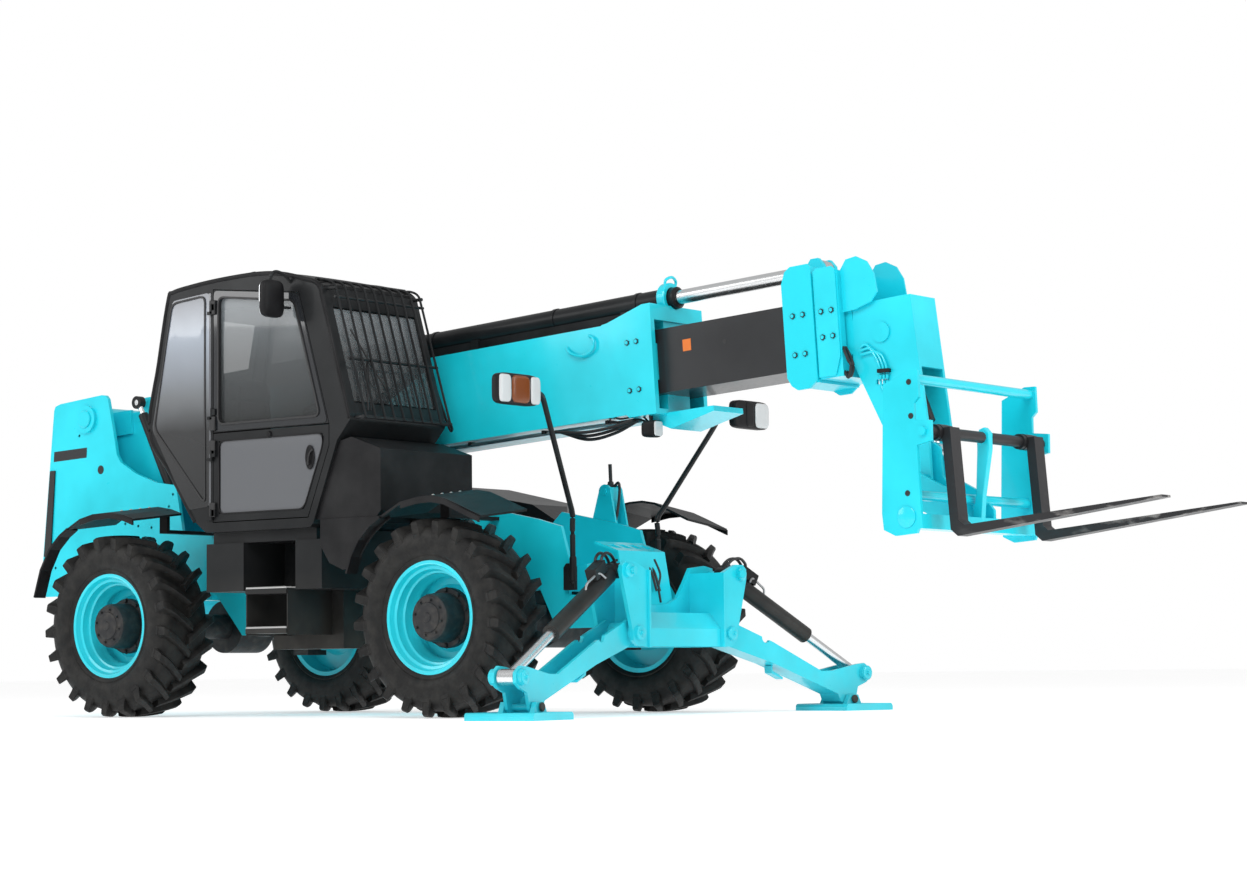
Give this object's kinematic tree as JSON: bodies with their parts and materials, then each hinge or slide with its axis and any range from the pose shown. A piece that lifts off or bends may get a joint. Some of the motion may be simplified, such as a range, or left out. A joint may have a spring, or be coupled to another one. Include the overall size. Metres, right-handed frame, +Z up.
{
  "type": "telehandler",
  "caption": "Telescopic handler with a side cab, four-section boom on a rear pivot, pallet forks, all-wheel steering and hinged front stabilisers.",
  "frame": {"origin": "middle of the footprint, on the ground", "axes": "+X forward towards the fork tips, +Y to the machine's left, +Z up"},
  "size_m": [8.7158, 3.705, 2.7545],
  "materials": {
    "paint": "gloss enamel, light orange peel",
    "dark_paint": "satin black enamel",
    "tyre": "matt, ribbed",
    "chrome": "polished rod",
    "black_plastic": "grained",
    "glass": "smoked glass",
    "iron": "cast, painted dark grey",
    "fabric": "woven seat cloth",
    "fork_steel": "black paint, worn at the heels"
  },
  "bodies": {
    "chassis": {"chassis_frame": "paint", "boom_tower": "paint", "tail_weight": "paint", "engine_block": "iron", "engine_pod": "dark_paint", "front_axle": "iron", "rear_axle": "iron", "cab_frame": "dark_paint", "cab_base": "dark_paint", "cab_glass": "glass", "windscreen_guard": "dark_paint", "seat": "fabric", "steering_column": "black_plastic", "cowl": "black_plastic", "fenders": "black_plastic", "lockers": "dark_paint", "stabiliser_frame": "paint", "sway_cylinder": "paint", "work_lamps": "dark_paint"},
    "knuckle_front_left": {"knuckle_front_left": "iron"},
    "wheel_front_left": {"rim_front_left": "paint", "tyre_front_left": "tyre"},
    "knuckle_front_right": {"knuckle_front_right": "iron"},
    "wheel_front_right": {"rim_front_right": "paint", "tyre_front_right": "tyre"},
    "knuckle_rear_left": {"knuckle_rear_left": "iron"},
    "wheel_rear_left": {"rim_rear_left": "paint", "tyre_rear_left": "tyre"},
    "knuckle_rear_right": {"knuckle_rear_right": "iron"},
    "wheel_rear_right": {"rim_rear_right": "paint", "tyre_rear_right": "tyre"},
    "engine_cover": {"engine_cover": "dark_paint"},
    "door_lower": {"door_lower": "dark_paint"},
    "door_upper": {"door_upper": "dark_paint", "door_upper_glass": "glass", "mirror": "black_plastic"},
    "stabiliser_leg_left": {"stabiliser_leg_left": "paint"},
    "stabiliser_pad_left": {"stabiliser_pad_left": "paint"},
    "stabiliser_barrel_left": {"stabiliser_barrel_left": "dark_paint"},
    "stabiliser_rod_left": {"stabiliser_rod_left": "chrome"},
    "stabiliser_leg_right": {"stabiliser_leg_right": "paint"},
    "stabiliser_pad_right": {"stabiliser_pad_right": "paint"},
    "stabiliser_barrel_right": {"stabiliser_barrel_right": "dark_paint"},
    "stabiliser_rod_right": {"stabiliser_rod_right": "chrome"},
    "boom_outer": {"boom_outer": "paint", "extension_barrel": "dark_paint"},
    "lift_barrel": {"lift_barrel": "dark_paint"},
    "lift_rod": {"lift_rod": "chrome"},
    "compensation_barrel": {"compensation_barrel": "dark_paint"},
    "compensation_rod": {"compensation_rod": "chrome"},
    "boom_section_2": {"boom_section_2": "dark_paint", "extension_rod": "chrome"},
    "boom_section_3": {"boom_section_3": "paint"},
    "boom_head": {"boom_head": "paint"},
    "carriage": {"carriage": "paint"},
    "tilt_barrel": {"tilt_barrel": "dark_paint"},
    "tilt_rod": {"tilt_rod": "chrome"},
    "fork_left": {"fork_left": "fork_steel"},
    "fork_right": {"fork_right": "fork_steel"}
  },
  "joints": [
    {"name": "steer_front_left", "type": "hinge", "parent": "chassis", "child": "knuckle_front_left", "pos_m": [0.02212, 0.72, 0.585], "axis": [0, 0, 1], "range_deg": [-32, 32]},
    {"name": "wheel_front_left_spin", "type": "hinge", "parent": "knuckle_front_left", "child": "wheel_front_left", "pos_m": [0.02212, 0.998, 0.585], "axis": [0, 1, 0], "continuous": true},
    {"name": "steer_front_right", "type": "hinge", "parent": "chassis", "child": "knuckle_front_right", "pos_m": [0.02212, -0.72, 0.585], "axis": [0, 0, 1], "range_deg": [-32, 32]},
    {"name": "wheel_front_right_spin", "type": "hinge", "parent": "knuckle_front_right", "child": "wheel_front_right", "pos_m": [0.02212, -0.998, 0.585], "axis": [0, 1, 0], "continuous": true},
    {"name": "steer_rear_left", "type": "hinge", "parent": "chassis", "child": "knuckle_rear_left", "pos_m": [-2.72788, 0.72, 0.585], "axis": [0, 0, 1], "range_deg": [-32, 32]},
    {"name": "wheel_rear_left_spin", "type": "hinge", "parent": "knuckle_rear_left", "child": "wheel_rear_left", "pos_m": [-2.72788, 0.998, 0.585], "axis": [0, 1, 0], "continuous": true},
    {"name": "steer_rear_right", "type": "hinge", "parent": "chassis", "child": "knuckle_rear_right", "pos_m": [-2.72788, -0.72, 0.585], "axis": [0, 0, 1], "range_deg": [-32, 32]},
    {"name": "wheel_rear_right_spin", "type": "hinge", "parent": "knuckle_rear_right", "child": "wheel_rear_right", "pos_m": [-2.72788, -0.998, 0.585], "axis": [0, 1, 0], "continuous": true},
    {"name": "engine_cover_lift", "type": "hinge", "parent": "chassis", "child": "engine_cover", "pos_m": [-1.35288, 0.408, 1.508], "axis": [1, 0, 0], "range_deg": [0, 55]},
    {"name": "door_lower_swing", "type": "hinge", "parent": "chassis", "child": "door_lower", "pos_m": [-1.78688, -1.172, 1.5], "axis": [0, 0, -1], "range_deg": [0, 85]},
    {"name": "door_upper_swing", "type": "hinge", "parent": "chassis", "child": "door_upper", "pos_m": [-1.78688, -1.172, 1.5], "axis": [0, 0, -1], "range_deg": [0, 85]},
    {"name": "stabiliser_left_lift", "type": "hinge", "parent": "chassis", "child": "stabiliser_leg_left", "pos_m": [0.88212, 0.461, 0.483], "axis": [0.9877, -0.1564, 0], "range_deg": [0, 78]},
    {"name": "stabiliser_left_pad_tilt", "type": "hinge", "parent": "stabiliser_leg_left", "child": "stabiliser_pad_left", "pos_m": [1.05795, 1.57116, 0.072], "axis": [0.9877, -0.1564, 0], "range_deg": [-20, 20]},
    {"name": "stabiliser_left_barrel_swing", "type": "hinge", "parent": "chassis", "child": "stabiliser_barrel_left", "pos_m": [0.89745, 0.55779, 0.844], "axis": [0.9877, -0.1564, 0], "range_deg": [-1, 92.27]},
    {"name": "stabiliser_left_rod_slide", "type": "slide", "parent": "stabiliser_barrel_left", "child": "stabiliser_rod_left", "axis": [0.1388, 0.8763, -0.4614], "range_m": [-0.398, 0.002]},
    {"name": "stabiliser_right_lift", "type": "hinge", "parent": "chassis", "child": "stabiliser_leg_right", "pos_m": [0.88212, -0.461, 0.483], "axis": [-0.9877, -0.1564, 0], "range_deg": [0, 78]},
    {"name": "stabiliser_right_pad_tilt", "type": "hinge", "parent": "stabiliser_leg_right", "child": "stabiliser_pad_right", "pos_m": [1.05795, -1.57116, 0.072], "axis": [-0.9877, -0.1564, 0], "range_deg": [-20, 20]},
    {"name": "stabiliser_right_barrel_swing", "type": "hinge", "parent": "chassis", "child": "stabiliser_barrel_right", "pos_m": [0.89745, -0.55779, 0.844], "axis": [-0.9877, -0.1564, 0], "range_deg": [-1, 92.27]},
    {"name": "stabiliser_right_rod_slide", "type": "slide", "parent": "stabiliser_barrel_right", "child": "stabiliser_rod_right", "axis": [0.1388, -0.8763, -0.4614], "range_m": [-0.398, 0.002]},
    {"name": "boom_lift", "type": "hinge", "parent": "chassis", "child": "boom_outer", "pos_m": [-3.89288, 0.1, 2.04], "axis": [0, -1, 0], "range_deg": [-6, 62]},
    {"name": "lift_barrel_swing", "type": "hinge", "parent": "chassis", "child": "lift_barrel", "pos_m": [-3.65288, 0.1, 0.98], "axis": [0, -1, 0], "range_deg": [-5.23, 49.35]},
    {"name": "lift_rod_slide", "type": "slide", "parent": "lift_barrel", "child": "lift_rod", "axis": [0.9578, 0, 0.2873], "range_m": [-0.098, 0.9936]},
    {"name": "compensation_barrel_swing", "type": "hinge", "parent": "chassis", "child": "compensation_barrel", "pos_m": [-3.15288, -0.22, 1.5], "axis": [0, -1, 0], "range_deg": [-1.1, 6.69]},
    {"name": "compensation_rod_slide", "type": "slide", "parent": "compensation_barrel", "child": "compensation_rod", "axis": [-0.4692, 0, 0.8831], "range_m": [-0.042, 0.4158]},
    {"name": "boom_extend_2", "type": "slide", "parent": "boom_outer", "child": "boom_section_2", "axis": [0.998, 0, 0.0637], "range_m": [-0.87, 2.7]},
    {"name": "boom_extend_3", "type": "slide", "parent": "boom_section_2", "child": "boom_section_3", "axis": [0.998, 0, 0.0637], "range_m": [0, 3.4]},
    {"name": "boom_extend_4", "type": "slide", "parent": "boom_section_3", "child": "boom_head", "axis": [0.998, 0, 0.0637], "range_m": [0, 3.4]},
    {"name": "carriage_tilt", "type": "hinge", "parent": "boom_head", "child": "carriage", "pos_m": [2.67714, 0.1, 1.25001], "axis": [0, -1, 0], "range_deg": [-75, 15]},
    {"name": "tilt_barrel_swing", "type": "hinge", "parent": "boom_head", "child": "tilt_barrel", "pos_m": [2.44064, 0.1, 2.16141], "axis": [0, -1, 0], "range_deg": [-1.63, 6.14]},
    {"name": "tilt_rod_slide", "type": "slide", "parent": "tilt_barrel", "child": "tilt_rod", "axis": [0.3751, 0, -0.927], "range_m": [-0.0558, 0.2708]},
    {"name": "fork_left_swing", "type": "hinge", "parent": "carriage", "child": "fork_left", "pos_m": [3.02214, 0.1, 1.53401], "axis": [0, -1, 0], "range_deg": [0, 20]},
    {"name": "fork_right_swing", "type": "hinge", "parent": "carriage", "child": "fork_right", "pos_m": [3.02214, 0.1, 1.53401], "axis": [0, -1, 0], "range_deg": [0, 20]}
  ],
  "couplings": [
    {"joint": "steer_front_right", "follows": "steer_front_left", "ratio": 1},
    {"joint": "steer_rear_left", "follows": "steer_front_left", "ratio": -1},
    {"joint": "steer_rear_right", "follows": "steer_front_left", "ratio": -1},
    {"joint": "stabiliser_left_barrel_swing", "follows": "stabiliser_left_lift", "ratio": 1.1702},
    {"joint": "stabiliser_left_rod_slide", "follows": "stabiliser_left_lift", "m_per_rad": -0.29086},
    {"joint": "stabiliser_right_barrel_swing", "follows": "stabiliser_right_lift", "ratio": 1.1702},
    {"joint": "stabiliser_right_rod_slide", "follows": "stabiliser_right_lift", "m_per_rad": -0.29086},
    {"joint": "lift_barrel_swing", "follows": "boom_lift", "ratio": 0.78792},
    {"joint": "lift_rod_slide", "follows": "boom_lift", "m_per_rad": 0.91637},
    {"joint": "compensation_barrel_swing", "follows": "boom_lift", "ratio": 0.099857},
    {"joint": "compensation_rod_slide", "follows": "boom_lift", "m_per_rad": 0.38241},
    {"joint": "boom_extend_4", "follows": "boom_extend_3", "ratio": 1},
    {"joint": "tilt_barrel_swing", "follows": "carriage_tilt", "ratio": -0.075146},
    {"joint": "tilt_rod_slide", "follows": "carriage_tilt", "m_per_rad": -0.20536}
  ]
}
